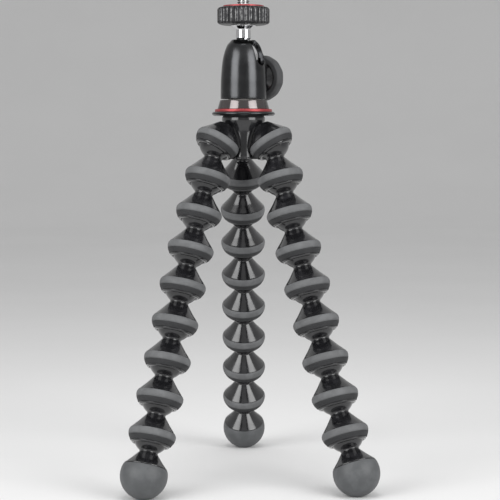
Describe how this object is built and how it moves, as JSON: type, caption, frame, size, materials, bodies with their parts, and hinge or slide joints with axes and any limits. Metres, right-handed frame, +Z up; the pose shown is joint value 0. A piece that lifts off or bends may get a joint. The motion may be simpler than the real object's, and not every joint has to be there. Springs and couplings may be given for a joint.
{
  "type": "flexible leg tripod",
  "caption": "Small flexible tripod with bendable ball-jointed legs, a ball head with a lock knob, and a camera screw on a knurled platform.",
  "frame": {"origin": "on the floor, under the middle of the whole stand's box", "axes": "+Z up; -Y is the front, where two legs stand; +X to the right seen from the front"},
  "size_m": [0.1238, 0.1594, 0.2423],
  "materials": {
    "moulding": "glossy black moulded plastic",
    "grip_rubber": "matte dark grey rubber, fine grain",
    "foot_rubber": "matte mid grey rubber, fine grain",
    "satin_metal": "satin dark grey anodised metal",
    "polished_metal": "polished metal",
    "accent_red": "red anodised metal, satin",
    "knurled_metal": "black anodised metal with a machined knurl",
    "pad_rubber": "matte black rubber",
    "steel": "turned steel",
    "nylon": "plain nylon"
  },
  "bodies": {
    "stand": {"hub_core": "moulding", "hub_cover": "moulding", "stand_screw": "steel", "stand_pad": "pad_rubber", "hub_grip_front_left": "grip_rubber", "hub_grip_front_right": "grip_rubber", "hub_grip_rear": "grip_rubber", "head_base": "polished_metal", "base_ring": "accent_red", "pan_bolt": "steel", "pan_washer": "nylon"},
    "head": {"head_body": "satin_metal", "body_floor": "satin_metal"},
    "brake_cup": {"brake_cup": "nylon"},
    "lock_screw": {"lock_screw": "steel"},
    "knob": {"knob_core": "moulding", "knob_grip": "grip_rubber"},
    "ball": {"head_ball": "polished_metal"},
    "platform": {"stem": "polished_metal", "platform_wheel": "knurled_metal", "top_ring": "accent_red", "top_pad": "pad_rubber", "camera_screw": "steel"},
    "front_left_link_1": {"front_left_link_1": "moulding"},
    "front_left_link_2": {"front_left_link_2": "moulding"},
    "front_left_link_3": {"front_left_link_3": "moulding"},
    "front_left_link_4": {"front_left_link_4": "moulding"},
    "front_left_link_5": {"front_left_link_5": "moulding"},
    "front_left_link_6": {"front_left_link_6": "moulding"},
    "front_left_link_7": {"front_left_link_7": "moulding"},
    "front_left_link_8": {"front_left_link_8": "moulding"},
    "front_left_foot": {"front_left_foot_link": "moulding", "front_left_foot_rubber": "foot_rubber"},
    "front_right_link_1": {"front_right_link_1": "moulding"},
    "front_right_link_2": {"front_right_link_2": "moulding"},
    "front_right_link_3": {"front_right_link_3": "moulding"},
    "front_right_link_4": {"front_right_link_4": "moulding"},
    "front_right_link_5": {"front_right_link_5": "moulding"},
    "front_right_link_6": {"front_right_link_6": "moulding"},
    "front_right_link_7": {"front_right_link_7": "moulding"},
    "front_right_link_8": {"front_right_link_8": "moulding"},
    "front_right_foot": {"front_right_foot_link": "moulding", "front_right_foot_rubber": "foot_rubber"},
    "rear_link_1": {"rear_link_1": "moulding"},
    "rear_link_2": {"rear_link_2": "moulding"},
    "rear_link_3": {"rear_link_3": "moulding"},
    "rear_link_4": {"rear_link_4": "moulding"},
    "rear_link_5": {"rear_link_5": "moulding"},
    "rear_link_6": {"rear_link_6": "moulding"},
    "rear_link_7": {"rear_link_7": "moulding"},
    "rear_link_8": {"rear_link_8": "moulding"},
    "rear_foot": {"rear_foot_link": "moulding", "rear_foot_rubber": "foot_rubber"}
  },
  "joints": [
    {"name": "head_pan", "type": "hinge", "parent": "stand", "child": "head", "pos_m": [-0.00336, -0.00905, 0.19089], "axis": [0, 0, 1], "continuous": true},
    {"name": "ball_tilt", "type": "hinge", "parent": "head", "child": "ball", "pos_m": [-0.00336, -0.00905, 0.21159], "axis": [0.5, 0.866, 0], "range_deg": [-5, 90]},
    {"name": "platform_spin", "type": "hinge", "parent": "ball", "child": "platform", "pos_m": [-0.00336, -0.00905, 0.21159], "axis": [0, 0, 1], "continuous": true},
    {"name": "lock_screw_travel", "type": "slide", "parent": "head", "child": "lock_screw", "axis": [0.5, 0.866, 0], "range_m": [0, 0.0004]},
    {"name": "knob_turn", "type": "hinge", "parent": "lock_screw", "child": "knob", "pos_m": [-0.00336, -0.00905, 0.20199], "axis": [0.5, 0.866, 0], "range_deg": [0, 180]},
    {"name": "brake_cup_travel", "type": "slide", "parent": "head", "child": "brake_cup", "axis": [0, 0, -1], "range_m": [0, 0.0003]},
    {"name": "front_left_bend_1", "type": "hinge", "parent": "stand", "child": "front_left_link_1", "pos_m": [-0.01664, -0.01757, 0.16869], "axis": [-0.5286, 0.8433, -0.0969], "range_deg": [-16, 43]},
    {"name": "front_left_swing_2", "type": "hinge", "parent": "front_left_link_1", "child": "front_left_link_2", "pos_m": [-0.0213, -0.0225, 0.15122], "axis": [0.8173, 0.4719, -0.3306], "range_deg": [-29, 30]},
    {"name": "front_left_bend_3", "type": "hinge", "parent": "front_left_link_2", "child": "front_left_link_3", "pos_m": [-0.02558, -0.0274, 0.13365], "axis": [-0.5299, 0.8401, -0.1158], "range_deg": [-29, 30]},
    {"name": "front_left_swing_4", "type": "hinge", "parent": "front_left_link_3", "child": "front_left_link_4", "pos_m": [-0.02956, -0.03235, 0.11602], "axis": [0.8228, 0.475, -0.312], "range_deg": [-29, 30]},
    {"name": "front_left_bend_5", "type": "hinge", "parent": "front_left_link_4", "child": "front_left_link_5", "pos_m": [-0.03333, -0.03741, 0.09837], "axis": [-0.5344, 0.8335, -0.1407], "range_deg": [-29, 30]},
    {"name": "front_left_swing_6", "type": "hinge", "parent": "front_left_link_5", "child": "front_left_link_6", "pos_m": [-0.03693, -0.0427, 0.08076], "axis": [0.8217, 0.4744, -0.3159], "range_deg": [-28, 31]},
    {"name": "front_left_bend_7", "type": "hinge", "parent": "front_left_link_6", "child": "front_left_link_7", "pos_m": [-0.04044, -0.0483, 0.06323], "axis": [-0.5438, 0.8205, -0.1762], "range_deg": [-30, 29]},
    {"name": "front_left_swing_8", "type": "hinge", "parent": "front_left_link_7", "child": "front_left_link_8", "pos_m": [-0.04389, -0.05432, 0.04582], "axis": [0.8144, 0.4702, -0.3401], "range_deg": [-28, 31]},
    {"name": "front_left_bend_9", "type": "hinge", "parent": "front_left_link_8", "child": "front_left_foot", "pos_m": [-0.0473, -0.06087, 0.02859], "axis": [-0.5603, 0.797, -0.2256], "range_deg": [-31, 28]},
    {"name": "front_right_bend_1", "type": "hinge", "parent": "stand", "child": "front_right_link_1", "pos_m": [0.01066, -0.01628, 0.16869], "axis": [-0.517, -0.8537, 0.0616], "range_deg": [-14, 45]},
    {"name": "front_right_swing_2", "type": "hinge", "parent": "front_right_link_1", "child": "front_right_link_2", "pos_m": [0.01526, -0.02034, 0.15098], "axis": [-0.8221, 0.4746, -0.3146], "range_deg": [-30, 29]},
    {"name": "front_right_bend_3", "type": "hinge", "parent": "front_right_link_2", "child": "front_right_link_3", "pos_m": [0.01966, -0.02448, 0.13324], "axis": [-0.5208, -0.85, 0.079], "range_deg": [-29, 30]},
    {"name": "front_right_swing_4", "type": "hinge", "parent": "front_right_link_3", "child": "front_right_link_4", "pos_m": [0.02395, -0.02875, 0.11551], "axis": [-0.8212, 0.4741, -0.3176], "range_deg": [-30, 29]},
    {"name": "front_right_bend_5", "type": "hinge", "parent": "front_right_link_4", "child": "front_right_link_5", "pos_m": [0.02819, -0.03325, 0.09782], "axis": [-0.5276, -0.8433, 0.1019], "range_deg": [-30, 29]},
    {"name": "front_right_swing_6", "type": "hinge", "parent": "front_right_link_5", "child": "front_right_link_6", "pos_m": [0.03246, -0.03805, 0.08021], "axis": [-0.814, 0.47, -0.3414], "range_deg": [-30, 29]},
    {"name": "front_right_bend_7", "type": "hinge", "parent": "front_right_link_6", "child": "front_right_link_7", "pos_m": [0.03679, -0.04323, 0.06273], "axis": [-0.5395, -0.8314, 0.1332], "range_deg": [-31, 28]},
    {"name": "front_right_swing_8", "type": "hinge", "parent": "front_right_link_7", "child": "front_right_link_8", "pos_m": [0.04125, -0.04889, 0.04543], "axis": [-0.7995, 0.4616, -0.3844], "range_deg": [-31, 28]},
    {"name": "front_right_bend_9", "type": "hinge", "parent": "front_right_link_8", "child": "front_right_foot", "pos_m": [0.04586, -0.05512, 0.02837], "axis": [-0.559, -0.8107, 0.1739], "range_deg": [-31, 28]},
    {"name": "rear_bend_1", "type": "hinge", "parent": "stand", "child": "rear_link_1", "pos_m": [-0.0041, 0.00672, 0.16869], "axis": [0.9999, -0.0033, 0.0097], "range_deg": [-15, 44]},
    {"name": "rear_swing_2", "type": "hinge", "parent": "rear_link_1", "child": "rear_link_2", "pos_m": [-0.00391, 0.01283, 0.15098], "axis": [0, -0.9408, -0.339], "range_deg": [-29, 30]},
    {"name": "rear_bend_3", "type": "hinge", "parent": "rear_link_2", "child": "rear_link_3", "pos_m": [-0.00373, 0.01918, 0.13335], "axis": [1, -0.003, 0.008], "range_deg": [-30, 29]},
    {"name": "rear_swing_4", "type": "hinge", "parent": "rear_link_3", "child": "rear_link_4", "pos_m": [-0.00357, 0.02574, 0.1158], "axis": [0, -0.9328, -0.3603], "range_deg": [-29, 30]},
    {"name": "rear_bend_5", "type": "hinge", "parent": "rear_link_4", "child": "rear_link_5", "pos_m": [-0.00343, 0.0325, 0.09832], "axis": [1, -0.0024, 0.006], "range_deg": [-30, 29]},
    {"name": "rear_swing_6", "type": "hinge", "parent": "rear_link_5", "child": "rear_link_6", "pos_m": [-0.00331, 0.03941, 0.0809], "axis": [0, -0.9268, -0.3756], "range_deg": [-29, 30]},
    {"name": "rear_bend_7", "type": "hinge", "parent": "rear_link_6", "child": "rear_link_7", "pos_m": [-0.00321, 0.04644, 0.06353], "axis": [1, -0.0015, 0.0037], "range_deg": [-30, 29]},
    {"name": "rear_swing_8", "type": "hinge", "parent": "rear_link_7", "child": "rear_link_8", "pos_m": [-0.00314, 0.05358, 0.0462], "axis": [0, -0.9229, -0.385], "range_deg": [-29, 30]},
    {"name": "rear_bend_9", "type": "hinge", "parent": "rear_link_8", "child": "rear_foot", "pos_m": [-0.00309, 0.0608, 0.02891], "axis": [1, -0.0005, 0.0012], "range_deg": [-30, 29]}
  ],
  "couplings": [
    {"joint": "knob_turn", "follows": "lock_screw_travel", "rad_per_m": 7853.9},
    {"joint": "brake_cup_travel", "follows": "lock_screw_travel", "ratio": 0.75}
  ]
}
